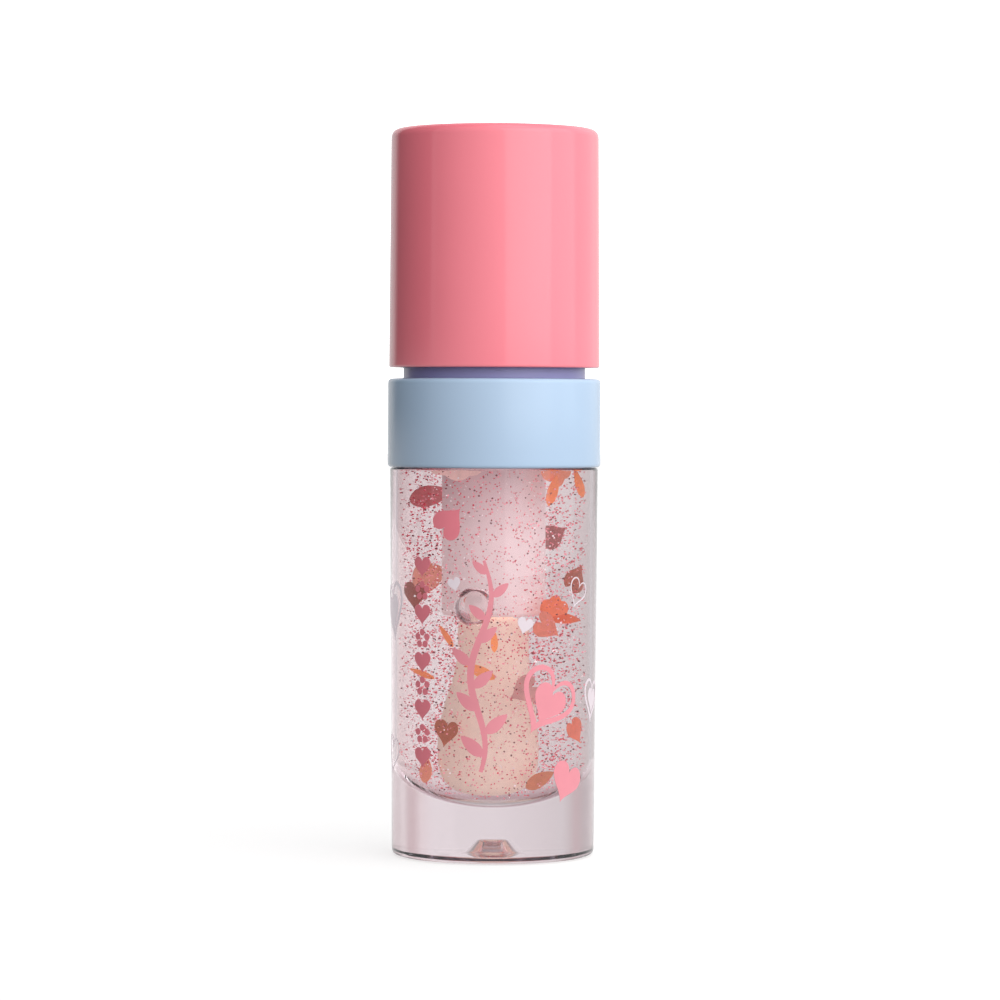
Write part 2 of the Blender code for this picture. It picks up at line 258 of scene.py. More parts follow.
def cap_finish():
    pink = Finish("cap_pink", linear(252, 130, 145), 0.12, IOR=1.58)
    return pink.mottle(9.0, 0.985, 1.01).uneven_gloss(2.5, 0.08, 0.14).bump(0.6, 0.03, 0.01).material


def collar_finish():
    blue = Finish("collar_blue", linear(176, 200, 226), 0.22, IOR=1.5)
    return blue.mottle(9.0, 0.985, 1.01).uneven_gloss(2.5, 0.16, 0.26).bump(0.6, 0.03, 0.01).material


def shaded_spigot_finish():
    # Painted shade and painted pink light: the collar's blue, made darker and purplish for the gap under the
    # cap
    spigot_shade = Finish("spigot_painted_shade", linear(134, 134, 184), 0.3, IOR=1.5)
    return spigot_shade.mottle(9.0, 0.97, 1.02).bump(0.6, 0.03, 0.01).material


def white_finish(name, roughness):
    white = Finish(name, linear(236, 235, 232), roughness)
    return white.mottle(4.0, 0.97, 1.0).bump(0.5, 0.05, 0.01).material


def stem_finish():
    stem = Finish("stem_frosted", linear(236, 214, 218), 0.45, IOR=1.5)
    # Painted shade: colour and glow darken towards the stem's top, where the collar shades it
    stem.fade_up(STEM_Z, STEM_Z + 20, ((0.0, linear(243, 229, 229)), (0.4, linear(240, 225, 226)),
                                       (0.72, linear(206, 180, 184)), (1.0, linear(180, 154, 159))))
    return stem.glow(STEM_GLOW).bump(0.25, 0.08, 0.01).material


def flock_finish():
    flock = Finish("flock_cream", linear(240, 222, 206), 0.95, Sheen_Weight=0.3, Sheen_Roughness=0.5)
    return flock.glow(FLOCK_GLOW).mottle(0.5, 0.94, 1.02).bump(0.12, 0.35, 0.03).material


def foam_finish():
    foam = Finish("seal_foam", linear(232, 230, 226), 0.9)
    return foam.mottle(1.0, 0.95, 1.0).bump(0.2, 0.4, 0.05).material


def foil_finish(name, colour):
    foil = Finish("finish_" + name, colour, 0.4, Metallic=0.15)
    return foil.glow(FOIL_GLOW).mottle(0.7, 0.8, 1.12).bump(0.25, 0.12, 0.02).material


def ink_finish(name, colour, glow=0.0):
    ink = Finish(name, colour, 0.4)
    return ink.glow(glow).mottle(1.2, 0.98, 1.01).bump(0.3, 0.05, 0.005).material


def glitter_finish(name, colour, metallic):
    flecks = Finish(name, colour, 0.35, Metallic=metallic)
    return flecks.glow(FOIL_GLOW).mottle(0.8, 0.7, 1.25).material


# ---------------------------------------------------------------- shape helpers

def to_piece(name, bm, finishes, body, stands_for=(), sharp=35, turn_outwards=True):
    """Turns a bmesh in millimetres into a finished piece that rides on a CAD body."""
    if turn_outwards:
        bmesh.ops.recalc_face_normals(bm, faces=bm.faces)
    bmesh.ops.scale(bm, vec=(MM, MM, MM), verts=bm.verts)
    mesh = bpy.data.meshes.new(name)
    bm.to_mesh(mesh)
    bm.free()
    for finish in finishes:
        mesh.materials.append(finish)
    mesh.shade_smooth()
    mesh.set_sharp_from_angle(angle=math.radians(sharp))
    piece = bpy.data.objects.new(name, mesh)
    bpy.context.scene.collection.objects.link(piece)
    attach(piece, body)
    if stands_for:
        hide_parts(*stands_for)
    return piece


def rounded(corners, steps=5):
    """A profile of (radius, height) points from corners, each with a rounding, if any, in its third place."""
    points = []
    for i, corner in enumerate(corners):
        here = Vector(corner[:2])
        if len(corner) < 3 or i in (0, len(corners) - 1):
            points.append(tuple(here))
            continue
        back = Vector(corners[i - 1][:2]) - here
        ahead = Vector(corners[i + 1][:2]) - here
        reach = min(corner[2], back.length * 0.48, ahead.length * 0.48)
        start = here + back.normalized() * reach
        end = here + ahead.normalized() * reach
        for k in range(steps + 1):
            t = k / steps
            points.append(tuple(start * (1 - t) ** 2 + here * 2 * t * (1 - t) + end * t * t))
    return points


def ellipse_arc(centre_z, radius, height, start, end, steps):
    """Points of an elliptical arc about a centre on the axis, angles in degrees from level."""
    points = []
    for i in range(steps + 1):
        angle = math.radians(start + (end - start) * i / steps)
        points.append((radius * math.cos(angle), centre_z + height * math.sin(angle)))
    return points


def upright(radius, low_z, high_z, step=0.12):
    """Closely spaced points up or down a straight wall, which a thread can then displace."""
    count = max(1, round(abs(high_z - low_z) / step))
    return [(radius, low_z + (high_z - low_z) * i / count) for i in range(count + 1)]


def turned(bm, profile, zone=lambda r, z: 0, shape=lambda r, z, angle: r, shift=lambda z: 0.0,
           steps=TURN_STEPS, closed=False):
    """Turns a profile about Z. zone picks a face's material, shape its radius and shift its offset in X."""
    rings = []
    for r, z in profile:
        if r < 1e-6:
            rings.append([bm.verts.new((shift(z), 0.0, z))])
            continue
        ring = []
        for i in range(steps):
            angle = math.tau * i / steps
            radius = shape(r, z, angle)
            ring.append(bm.verts.new((radius * math.cos(angle) + shift(z), radius * math.sin(angle), z)))
        rings.append(ring)
    pairs = list(zip(range(len(rings)), range(1, len(rings))))
    if closed:
        pairs.append((len(rings) - 1, 0))
    for low, high in pairs:
        a, b = rings[low], rings[high]
        middle_r = (profile[low][0] + profile[high][0]) / 2
        middle_z = (profile[low][1] + profile[high][1]) / 2
        for i in range(steps):
            j = (i + 1) % steps
            corners = [a[i % len(a)], a[j % len(a)], b[j % len(b)], b[i % len(b)]]
            face = bm.faces.new(list(dict.fromkeys(corners)))
            face.material_index = zone(middle_r, middle_z)
    return bm


def thread_swell(z, angle, start_z):
    """Height of a helical ridge at a place on a wall, fading in and out at its ends."""
    foot, crest = 0.6, 0.22
    best = 0.0
    for k in range(THREAD_TURNS):
        turns = k + angle / math.tau
        away = abs(z - start_z - THREAD_LEAD * turns)
        side = min(1.0, max(0.0, (foot - away) / (foot - crest)))
        ends = min(1.0, turns * 6, (THREAD_TURNS - turns) * 6)
        best = max(best, side * side * (3 - 2 * side) * ends)
    return best * THREAD_HEIGHT


def heart(width, height, count=56):
    """A heart with its point down, about the origin."""
    points = []
    for i in range(count):
        t = math.tau * i / count
        along = (13 * math.cos(t) - 5 * math.cos(2 * t) - 2 * math.cos(3 * t) - math.cos(4 * t) + 2.5) / 14.5
        points.append((math.sin(t) ** 3 * width / 2, along * height / 2))
    return points


def petal(width, height, count=44):
    """A leaf shape, pointed at both ends and fuller towards its lower end."""
    points = []
    for i in range(count):
        t = math.tau * i / count
        across = math.sin(t) * abs(math.sin(t)) ** 0.4 * (1 - 0.25 * math.cos(t))
        points.append((across * width / 2, math.cos(t) * height / 2))
    return points


def fan(width, height, count=48):
    """A half-open flower with three lobes along its round side."""
    points = [(0.0, -height / 2)]
    for i in range(count):
        share = i / (count - 1)
        t = math.radians(-75 + 150 * share)
        reach = 0.86 + 0.14 * abs(math.cos(3 * math.radians(-90 + 180 * share)))
        points.append((math.sin(t) * reach * width / 2, (math.cos(t) * reach - 0.5) * height))
    return points


def dot(width, height, count=24):
    """A round or oval spot."""
    angles = [math.tau * i / count for i in range(count)]
    return [(math.sin(angle) * width / 2, math.cos(angle) * height / 2) for angle in angles]


OUTLINES = {"heart": heart, "petal": petal, "fan": fan, "dot": dot}


def plate(bm, outline, place, rings=4):
    """A thin closed plate with that outline. place(u, v, side) puts a point on its back (0) or front (1)."""
    hub_u = sum(u for u, v in outline) / len(outline)
    hub_v = sum(v for u, v in outline) / len(outline)
    edges = []
    for side in (0, 1):
        hub = bm.verts.new(place(hub_u, hub_v, side))
        inner = None
        for k in range(1, rings + 1):
            share = k / rings
            ring = [bm.verts.new(place(hub_u + (u - hub_u) * share, hub_v + (v - hub_v) * share, side))
                    for u, v in outline]
            for i in range(len(ring)):
                j = (i + 1) % len(ring)
                corners = (hub, ring[i], ring[j]) if inner is None else (inner[i], ring[i], ring[j], inner[j])
                bm.faces.new(corners)
            inner = ring
        edges.append(inner)
    for i in range(len(outline)):
        j = (i + 1) % len(outline)
        bm.faces.new((edges[0][i], edges[0][j], edges[1][j], edges[1][i]))


def hollow(bm, outline, stroke, place):
    """A thin closed ring: the outline, and a smaller one a stroke's width inside it."""
    count = len(outline)
    hub = Vector((sum(u for u, v in outline) / count, sum(v for u, v in outline) / count))
    rails = []
    for i, spot in enumerate(outline):
        inwards = hub - Vector(spot)
        along = Vector(outline[(i + 1) % count]) - Vector(outline[i - 1])
        across = Vector((-along.y, along.x)).normalized()
        slant = max(0.5, abs(across.dot(inwards.normalized())))
        inner = Vector(spot) + inwards.normalized() * min(stroke / slant, inwards.length * 0.6)
        rails.append([bm.verts.new(place(*corner, side)) for corner, side in
                      ((spot, 0), (spot, 1), (inner, 1), (inner, 0))])
    for a, b in zip(rails, rails[1:] + rails[:1]):
        for k in range(4):
            bm.faces.new((a[k], a[(k + 1) % 4], b[(k + 1) % 4], b[k]))


def ribbon(bm, points, widths, place):
    """A thin closed strip along points, as wide as widths says at each."""
    count = len(points)
    rails = []
    for i in range(count):
        before = Vector(points[max(0, i - 1)])
        after = Vector(points[min(count - 1, i + 1)])
        along = (after - before).normalized()
        across = Vector((-along.y, along.x)) * widths[i] / 2
        left = Vector(points[i]) + across
        right = Vector(points[i]) - across
        rails.append([bm.verts.new(place(*spot, side)) for spot, side in
                      ((left, 0), (left, 1), (right, 1), (right, 0))])
    for a, b in zip(rails, rails[1:]):
        for k in range(4):
            bm.faces.new((a[k], a[(k + 1) % 4], b[(k + 1) % 4], b[k]))
    bm.faces.new(rails[0])
    bm.faces.new(rails[-1])


# ---------------------------------------------------------------- bottle, collar, wiper and gel

def wall_radius(z):
    """The bottle widens slightly from its base to its shoulder."""
    return BASE_R + (SHOULDER_R - BASE_R) * z / SHOULDER_Z


def make_bottle():
    """The body from the dimple under its foot, up the outside, over the neck and down the bore."""
    neck_z = BOSS_TOP_Z + 1
    rim_z = NECK_TOP_Z - 0.4
    foot = [(0.0, DIMPLE_TOP_Z), (DIMPLE_TOP_R, DIMPLE_TOP_Z, 0.3), (DIMPLE_R, FOOT_RECESS, 0.35),
            (FOOT_RECESS_R, FOOT_RECESS, 0.3), (FOOT_RING_R, 0.0, 0.2), (BASE_R, 0.0, 0.6)]
    boss = [(SHOULDER_R, SHOULDER_Z, 0.25), (BOSS_R, SHOULDER_Z, 0.1), (BOSS_R, SNAP_Z - SNAP_HALF, 0.1),
            (BOSS_R + SNAP_HEIGHT, SNAP_Z, 0.3), (BOSS_R, SNAP_Z + SNAP_HALF, 0.1),
            (BOSS_R, BOSS_TOP_Z, 0.3), (NECK_R, BOSS_TOP_Z, 0.2), (NECK_R, neck_z)]
    throat = [(NECK_R, rim_z), (NECK_R, NECK_TOP_Z, 0.3), (NECK_BORE_R, NECK_TOP_Z, 0.3),
              (NECK_BORE_R, THROAT_Z, 0.6), (BORE_R, BORE_TOP_Z, 0.6), (BORE_R, GLOSS_TOP_Z)]
    bowl = ellipse_arc(BOWL_Z, BORE_R, BOWL_HEIGHT, 0, -90, 28)
    bowl[-1] = (0.0, FLOOR_Z)
    profile = rounded(foot + boss)[:-1]
    profile += upright(NECK_R, neck_z, rim_z)
    profile += rounded(throat)[1:]
    profile += [(BORE_R, z) for z in reversed(BORE_STATIONS)]
    profile += bowl

    def wet(r, z):
        return 1 if r < BORE_R + 0.01 and FLOOR_Z - 0.01 < z < GLOSS_TOP_Z else 0

    def threaded(r, z, angle):
        outside = abs(r - NECK_R) < 0.01 and z > neck_z
        return r + (thread_swell(z, angle, NECK_THREAD_Z) if outside else 0.0)

    bm = turned(bmesh.new(), profile, zone=wet, shape=threaded)
    return to_piece("bottle_body", bm, [wall_finish(), wet_wall_finish()], "root",
                    ["bottle"], sharp=30)


def make_gel():
    """The gel fills the bore to its level, with a bubble caught in it."""
    radius = BORE_R - GEL_CLEARANCE
    level = GLOSS_TOP_Z - 0.3
    bowl = ellipse_arc(BOWL_Z, radius, BOWL_HEIGHT - GEL_CLEARANCE, -90, 0, 28)
    bowl[0] = (0.0, FLOOR_Z + GEL_CLEARANCE)
    sides = [(radius, z) for z in BORE_STATIONS]
    meniscus = [(radius, GLOSS_TOP_Z - GEL_CLEARANCE), (radius - 0.1, level + 0.12),
                (radius - 0.4, level + 0.03), (radius - 0.8, level), (0.0, level)]
    bm = turned(bmesh.new(), bowl + sides + meniscus,
                zone=lambda r, z: 1 if z > level - 0.1 and r < radius - 0.01 else 0)
    bmesh.ops.recalc_face_normals(bm, faces=bm.faces)
    add_bubble(bm)
    return to_piece("gloss_gel", bm, [gel_side_finish(), gel_surface_finish()], "root",
                    ["gloss"], sharp=50, turn_outwards=False)


def add_bubble(bm):
    """An inner shell of the gel, whose faces point into the bubble."""
    place = Matrix.Translation(BUBBLE_CENTRE) @ Matrix.Diagonal(BUBBLE_SHAPE.to_4d())
    outside = set(bm.faces)
    bmesh.ops.create_icosphere(bm, subdivisions=5, radius=BUBBLE_R, matrix=place)
    shell = [face for face in bm.faces if face not in outside]
    for face in shell:
        face.material_index = 1
    bmesh.ops.reverse_faces(bm, faces=shell)


def make_collar():
    """The blue ring with its spigot in painted shade and pink light, from its lower edge up the outside and
    down the inside.
    """
    skirt_z = COLLAR_Z - SKIRT
    inner = BOSS_R + GAP
    groove = inner + SNAP_HEIGHT
    spigot_inner = SPIGOT_R - 1.0
    web_z = BOSS_TOP_Z + GAP
    groove_half = SNAP_HALF + 0.4
    corners = [(inner, skirt_z), (COLLAR_R, skirt_z, 0.4), (COLLAR_R, LEDGE_Z, 0.5), (SPIGOT_R, LEDGE_Z, 0.1),
               (SPIGOT_R, SPIGOT_TOP_Z, 0.3), (spigot_inner, SPIGOT_TOP_Z, 0.3),
               (spigot_inner, LEDGE_Z, 0.1), (NECK_R + GAP, LEDGE_Z, 0.1), (NECK_R + GAP, web_z, 0.1),
               (inner, web_z, 0.2), (inner, SNAP_Z + groove_half, 0.1), (groove, SNAP_Z + SNAP_HALF, 0.1),
               (groove, SNAP_Z - SNAP_HALF, 0.1), (inner, SNAP_Z - groove_half, 0.1)]

    # Painted shade: faces of the spigot take the darker purplish finish
    def spigot_shade(r, z):
        return 1 if z > LEDGE_Z + 0.05 or (z > LEDGE_Z - 0.05 and r < SPIGOT_R + 0.3) else 0

    bm = turned(bmesh.new(), rounded(corners), zone=spigot_shade, closed=True)
    return to_piece("collar_ring", bm, [collar_finish(), shaded_spigot_finish()], "root", ["collar"])


def make_wiper():
    """The press-in sleeve of the neck, tapering to the lip that wipes the stem."""
    outer_r = NECK_BORE_R - GAP
    bore_r = 4.6
    taper_z, taper_r, taper_end_z, inner_taper_z = 48.6, 4.95, 46.9, 47.7
    lip_r, lip_z = 4.2, 46.0
    flange_r = 6.4
    flange_z = NECK_TOP_Z + GAP
    flange_top_z = flange_z + 0.6
    corners = [(outer_r, flange_z), (outer_r, taper_z, 0.3), (taper_r, taper_end_z, 0.2),
               (lip_r + 0.3, lip_z, 0.1), (lip_r, lip_z, 0.1), (lip_r, lip_z + 0.4, 0.2),
               (bore_r, inner_taper_z, 0.5), (bore_r, flange_top_z, 0.25), (flange_r, flange_top_z, 0.15),
               (flange_r, flange_z, 0.1)]
    bm = turned(bmesh.new(), rounded(corners), closed=True)
    return to_piece("wiper_sleeve", bm, [white_finish("wiper_white", 0.35)], "root",
                    ["wiper"])


# ---------------------------------------------------------------- cap and wand

def make_cap_shell():
    """The pink shell, slightly narrower and slightly domed at its top."""
    inner_r, inner_draft, roof_z = 9.75, 0.15, 73.6
    outer_draft, rim_z = 0.175, 74.9
    crown_r, crown_z = 6.0, 75.1
    corners = [(0.0, roof_z), (inner_r - inner_draft, roof_z, 0.5), (inner_r, CAP_Z, 0.25),
               (CAP_R, CAP_Z, 0.25), (CAP_R - outer_draft, rim_z, 1.0), (crown_r, crown_z, 2.0),
               (0.0, CAP_TOP_Z)]
    bm = turned(bmesh.new(), rounded(corners, steps=10))
    return to_piece("cap_shell_skin", bm, [cap_finish()], "cap", ["cap_shell"])


def make_inner_cap():
    """The threaded liner, with ribs that grip the shell and a web that holds the stem."""
    outer_r, bore_r, hole_r = 8.8, 8.2, 2.7
    web_z, web_top_z, wall = 63.8, 65.3, 0.8
    thread_end_z = 60.8
    rib_count, rib_height, rib_end = 12, 0.5, 1.0
    top = [(bore_r, thread_end_z + 0.1), (bore_r, web_z, 0.3), (hole_r, web_z, 0.1), (hole_r, web_top_z, 0.1),
           (outer_r - wall, web_top_z, 0.3), (outer_r - wall, LINER_TOP_Z, 0.1),
           (outer_r, LINER_TOP_Z, 0.2), (outer_r, LINER_TOP_Z - rib_end)]
    mouth = [(outer_r, LINER_Z + rib_end), (outer_r, LINER_Z, 0.2), (bore_r + 0.2, LINER_Z, 0.1),
             (bore_r, LINER_Z + 0.5)]
    profile = rounded(top) + rounded(mouth) + upright(bore_r, LINER_Z + 0.6, thread_end_z)

    def formed(r, z, angle):
        if abs(r - bore_r) < 0.01 and z < thread_end_z + 0.2:
            return r - thread_swell(z, angle, CAP_THREAD_Z)
        if abs(r - outer_r) < 0.01 and LINER_Z + rib_end - 0.1 < z < LINER_TOP_Z - rib_end + 0.1:
            wave = math.cos(rib_count * (angle - math.pi / rib_count))
            return r + rib_height * max(0.0, min(1.0, 8 * wave - 6))
        return r

    bm = turned(bmesh.new(), profile, shape=formed, closed=True, steps=240)
    return to_piece("inner_cap_liner", bm, [white_finish("liner_white", 0.35)], "cap",
                    ["inner_cap"])


def make_washer():
    """The foam ring between the wiper's flange and the stem's."""
    low_z, high_z, inner, outer = 61.7, 62.5, STEM_R + 0.4, 6.3
    corners = [(inner, low_z), (outer, low_z, 0.1), (outer, high_z, 0.1), (inner, high_z, 0.1)]
    bm = turned(bmesh.new(), rounded(corners), closed=True)
    return to_piece("seal_washer_foam", bm, [foam_finish()], "seal", ["seal_washer"])


def make_stem():
    """The rod, with a socket for the tip, a flange and a barbed plug that snaps into the liner."""
    socket_r, socket_top_z = 1.7, STEM_Z + 0.8
    flange_z, flange_top_z = 62.8, 63.5
    plug_r, barb_r, barb_z = 2.4, 3.1, 65.6
    corners = [(0.0, socket_top_z), (socket_r, socket_top_z, 0.1), (socket_r, STEM_Z, 0.1),
               (STEM_R, STEM_Z, 0.5), (STEM_R, flange_z, 0.2), (STEM_FLANGE_R, flange_z, 0.15),
               (STEM_FLANGE_R, flange_top_z, 0.15), (plug_r, flange_top_z, 0.1), (plug_r, barb_z, 0.1),
               (barb_r, barb_z, 0.15), (plug_r, STEM_TOP_Z, 0.1), (0.0, STEM_TOP_Z)]
    bm = turned(bmesh.new(), rounded(corners))
    return to_piece("wand_stem", bm, [stem_finish()], "wand", ["stem"])


def tip_shift(z):
    """The belly of the soft tip stands a little off the axis."""
    share = min(1.0, max(0.0, (22.0 - z) / 10.0))
    return -TIP_LEAN * share * share * (3 - 2 * share)


def tip_radius(z):
    """The tip's radius at a height, along its outline."""
    for (r0, z0), (r1, z1) in zip(TIP_OUTLINE, TIP_OUTLINE[1:]):
        if z0 <= z <= z1:
            return r0 + (r1 - r0) * (z - z0) / (z1 - z0)
    return 0.0


def smooth_outline(points, parts=6):
    """A Catmull-Rom curve through a profile's points."""
    out = []
    for i in range(len(points) - 1):
        before = Vector(points[max(0, i - 1)])
        start, end = Vector(points[i]), Vector(points[i + 1])
        after = Vector(points[min(len(points) - 1, i + 2)])
        for k in range(parts):
            t = k / parts
            spot = 0.5 * (2 * start + (end - before) * t + (2 * before - 5 * start + 4 * end - after) * t * t
                          + (3 * start - before - 3 * end + after) * t ** 3)
            out.append((max(0.0, spot.x), spot.y))
    out.append(points[-1])
    return out


def make_tip():
    """The soft tip, its surface roughened by flock, and the stalk that stands in the stem's socket."""
    stalk_r, stalk_z, stalk_top_z = 1.4, STEM_Z - GAP, STEM_Z + 0.6
    flock_height = 0.02
    profile = smooth_outline(TIP_OUTLINE) + [(stalk_r, stalk_z), (stalk_r, stalk_top_z), (0.0, stalk_top_z)]
    fuzz = random.Random(5)

    def flocked(r, z, angle):
        return r + (fuzz.uniform(-flock_height, flock_height) if z < stalk_z else 0.0)

    bm = turned(bmesh.new(), profile, shape=flocked, shift=tip_shift)
    return to_piece("applicator_flock", bm, [flock_finish()], "wand", ["applicator_tip"], sharp=60)


# ---------------------------------------------------------------- foils and glitter in the gel

# Each foil: name, outline, angle round the tube from +X, height, distance from the axis, width, length,
# lean in its own plane, turn of its face, colour and material slot.
FOILS = (
    ("foil_petal_plum", "petal", 139, 36.85, 5.2, 2.1, 5.2, -82, 0, (182, 104, 107), "foil_dark"),
    ("foil_fan_salmon", "fan", -124, 39.85, 5.3, 6.2, 2.4, 180, 0, (245, 205, 198), "foil_salmon"),
    ("foil_rose_orange", "fan", -25, 39.6, 5.5, 3.6, 3.2, 172, -20, (224, 120, 80), "foil_orange"),
    ("foil_petal_orange", "petal", -32, 37.65, 5.6, 1.0, 3.2, 14, -20, (226, 112, 38), "foil_orange"),
    ("foil_petal_amber", "petal", 4, 38.25, 6.15, 0.8, 3.0, -17, -35, (240, 124, 48), "foil_orange"),
    ("foil_heart_maroon", "heart", 45, 32.95, 5.2, 2.5, 3.0, 120, 0, (152, 62, 60), "foil_dark"),
    ("foil_heart_brown", "heart", 7, 28.7, 5.8, 2.6, 3.0, 215, -28, (168, 78, 52), "foil_brown"),
    ("foil_rose_copper", "fan", -23, 25.85, 5.1, 3.0, 2.2, 10, -30, (222, 108, 66), "foil_copper"),
    ("foil_petal_rust", "petal", -7, 24.55, 5.2, 1.1, 3.2, 100, -40, (212, 88, 38), "foil_copper"),
    ("foil_heart_coral", "heart", -36, 23.7, 5.5, 2.7, 3.2, -55, 0, (222, 128, 106), "foil_salmon"),
    ("foil_heart_umber", "heart", -175, 26.7, 5.9, 2.3, 3.0, 0, 30, (150, 62, 45), "foil_dark"),
    ("foil_petal_clay", "petal", 139, 28.55, 5.2, 3.0, 4.2, -75, 0, (205, 135, 115), "foil_copper"),
    ("foil_sliver_orange", "petal", -136, 22.85, 5.3, 0.6, 2.6, -35, 0, (250, 145, 90), "foil_orange"),
    ("foil_sliver_amber", "petal", -174, 18.85, 5.3, 0.6, 3.2, -75, 20, (250, 140, 80), "foil_orange"),
    ("foil_petal_peach", "petal", -102, 19.35, 5.3, 1.1, 2.9, -60, 0, (243, 150, 92), "foil_orange"),
    ("foil_sliver_peach", "petal", -89, 22.4, 5.3, 0.6, 2.2, 0, 0, (250, 150, 85), "foil_orange"),
    ("foil_heart_sienna", "heart", -136, 12.9, 5.3, 2.5, 2.8, 10, 0, (178, 96, 66), "foil_brown"),
    ("foil_heart_mauve", "heart", -61, 17.3, 5.2, 3.0, 3.0, 60, 0, (205, 150, 145), "foil_salmon"),
    ("foil_heart_salmon", "heart", -6, 12.9, 6.2, 2.2, 2.8, -30, -14, (232, 118, 88), "foil_salmon"),
    ("foil_petal_coral", "petal", -172, 8.95, 5.0, 1.2, 2.9, 4, 30, (232, 145, 118), "foil_salmon"),
    ("foil_petal_copper", "petal", -40, 8.15, 4.9, 1.5, 3.4, 65, 0, (205, 130, 98), "foil_copper"),
)


def make_foil(row, chance):
    """One cut-out of thin foil, curled a little as foil in a gel is."""
    name, shape, angle, height, radius, width, length, lean, turn, colour, slot = row
    curl = chance.uniform(0.05, 0.09) * chance.choice((-1, 1))
    twist = chance.uniform(-0.05, 0.05)
    deepest = 0.35
    around = math.radians(angle)
    centre = Vector((radius * math.cos(around), radius * math.sin(around), height))
    turned_by = Euler((0.0, math.radians(lean), math.radians(angle + 90 + turn))).to_matrix()

    def place(u, v, side):
        depth = curl * (u * u + 0.4 * v * v) + twist * u * v
        depth = max(-deepest, min(deepest, depth))
        return centre + turned_by @ Vector((u, depth + (side - 0.5) * FOIL_THICKNESS, v))

    bm = bmesh.new()
    plate(bm, OUTLINES[shape](width, length), place, rings=5)
    return to_piece(name + "_cut", bm, [foil_finish(name, linear(*colour))], "root", [name], sharp=50)


GLITTER_COUNT = 8500
SMALLEST_FLECK, LARGEST_FLECK = 0.055, 0.108
# Each glitter, which is also its material slot: name, colour, how metallic, share of all flecks.
GLITTERS = (
    ("glitter_red", (204, 76, 92), 0.1, 0.43),
    ("glitter_pink", (236, 150, 164), 0.1, 0.36),
    ("glitter_dark", (112, 30, 42), 0.2, 0.13),
    ("glitter_silver", (250, 240, 244), 0.3, 0.08),
)


def in_gel(spot):
    """Whether a fleck may float there: inside the bore, clear of the wand and the bubble."""
    off_axis = math.hypot(spot.x, spot.y)
    reach = BORE_R - FLECK_MARGIN
    if off_axis > reach:
        return False
    below = BOWL_Z - spot.z
    if below > 0 and (off_axis / reach) ** 2 + (below / (BOWL_HEIGHT - 0.25)) ** 2 > 1:
        return False
    if spot.z > STEM_Z - FLECK_MARGIN and off_axis < STEM_R + FLECK_MARGIN:
        return False
    if spot.z <= STEM_Z and math.hypot(spot.x - tip_shift(spot.z), spot.y) < tip_radius(spot.z) + 0.25:
        return False
    away = spot - BUBBLE_CENTRE
    scaled = Vector([away[k] / BUBBLE_SHAPE[k] for k in range(3)])
    return scaled.length > BUBBLE_R + 0.15


def make_glitter():
    """All the flecks, each kind of glitter as one piece."""
    chance = random.Random(11)
    heaps = {row[0]: bmesh.new() for row in GLITTERS}
    names = [row[0] for row in GLITTERS]
    shares = [row[3] for row in GLITTERS]
    placed = 0
    while placed < GLITTER_COUNT:
        spot = Vector((chance.uniform(-BORE_R, BORE_R), chance.uniform(-BORE_R, BORE_R),
                       chance.uniform(FLOOR_Z + 0.2, GLOSS_TOP_Z - 0.5)))
        if not in_gel(spot):
            continue
        name = chance.choices(names, shares)[0]
        size = chance.uniform(SMALLEST_FLECK, LARGEST_FLECK)
        facing = Euler([chance.uniform(0, math.tau) for _ in range(3)]).to_matrix()
        add_fleck(heaps[name], spot, size, facing)
        placed += 1
    for name, colour, metallic, _ in GLITTERS:
        finish = glitter_finish(name, linear(*colour), metallic)
        to_piece(name + "_flecks", heaps[name], [finish], "root", sharp=20)


def add_fleck(bm, centre, radius, facing):
    """One hexagonal fleck of glitter."""
    angles = [math.tau * i / 6 for i in range(6)]
    rims = []
    for height in (-FLECK_THICKNESS / 2, FLECK_THICKNESS / 2):
        corners = [Vector((radius * math.cos(angle), radius * math.sin(angle), height)) for angle in angles]
        rims.append([bm.verts.new(centre + facing @ corner) for corner in corners])
    bm.faces.new(rims[0])
    bm.faces.new(rims[1])
    for i in range(6):
        j = (i + 1) % 6
        bm.faces.new((rims[0][i], rims[0][j], rims[1][j], rims[1][i]))


# ---------------------------------------------------------------- prints on the bottle

def on_wall(azimuth, height, lean=0):
    """A placing function for a print there: u runs round the wall, v up it, and lean turns it clockwise."""
    turn = Matrix.Rotation(-math.radians(lean), 2)

    def place(u, v, side):
        spot = turn @ Vector((u, v))
        z = height + spot.y
        radius = wall_radius(z)
        around = math.radians(azimuth) + spot.x / radius
        radius += INK_LIFT + side * INK_THICKNESS
        return Vector((radius * math.sin(around), -radius * math.cos(around), z))

    return place


# Solid and outlined prints: outline, azimuth, height, width, length, lean, stroke (0 for a solid one).
PINK_PRINTS = (
    ("heart", 30.4, 16.2, 6.9, 6.9, 31, 0.55),
    ("heart", 31.4, 16.0, 4.0, 4.2, 31, 0),
    ("heart", 44.9, 8.0, 4.2, 4.1, 24, 0),
)
DEEP_PRINTS = (
    ("heart", -24.2, 34.8, 3.4, 3.4, 222, 0),
)
WHITE_PRINTS = (
    ("heart", -21.6, 28.3, 1.4, 1.45, -15, 0),
    ("heart", 17.3, 24.15, 1.7, 1.75, 15, 0),
    ("heart", 53.3, 27.25, 2.9, 3.1, 25, 0.14),
    ("heart", 71.5, 16.1, 4.0, 4.5, 10, 0.3),
    ("heart", 72.0, 16.1, 2.3, 2.6, 10, 0),
    ("heart", -73.5, 25.2, 5.4, 6.0, -10, 0.4),
    ("heart", -74.0, 25.0, 3.4, 3.8, -10, 0),
    ("heart", -76.5, 10.4, 3.8, 4.0, 10, 0.14),
)


def add_prints(bm, rows):
    """Adds the prints in a table to a mesh."""
    for shape, azimuth, height, width, length, lean, stroke in rows:
        place = on_wall(azimuth, height, lean)
        outline = OUTLINES[shape](width, length)
        if stroke:
            hollow(bm, outline, stroke, place)
        else:
            plate(bm, outline, place)


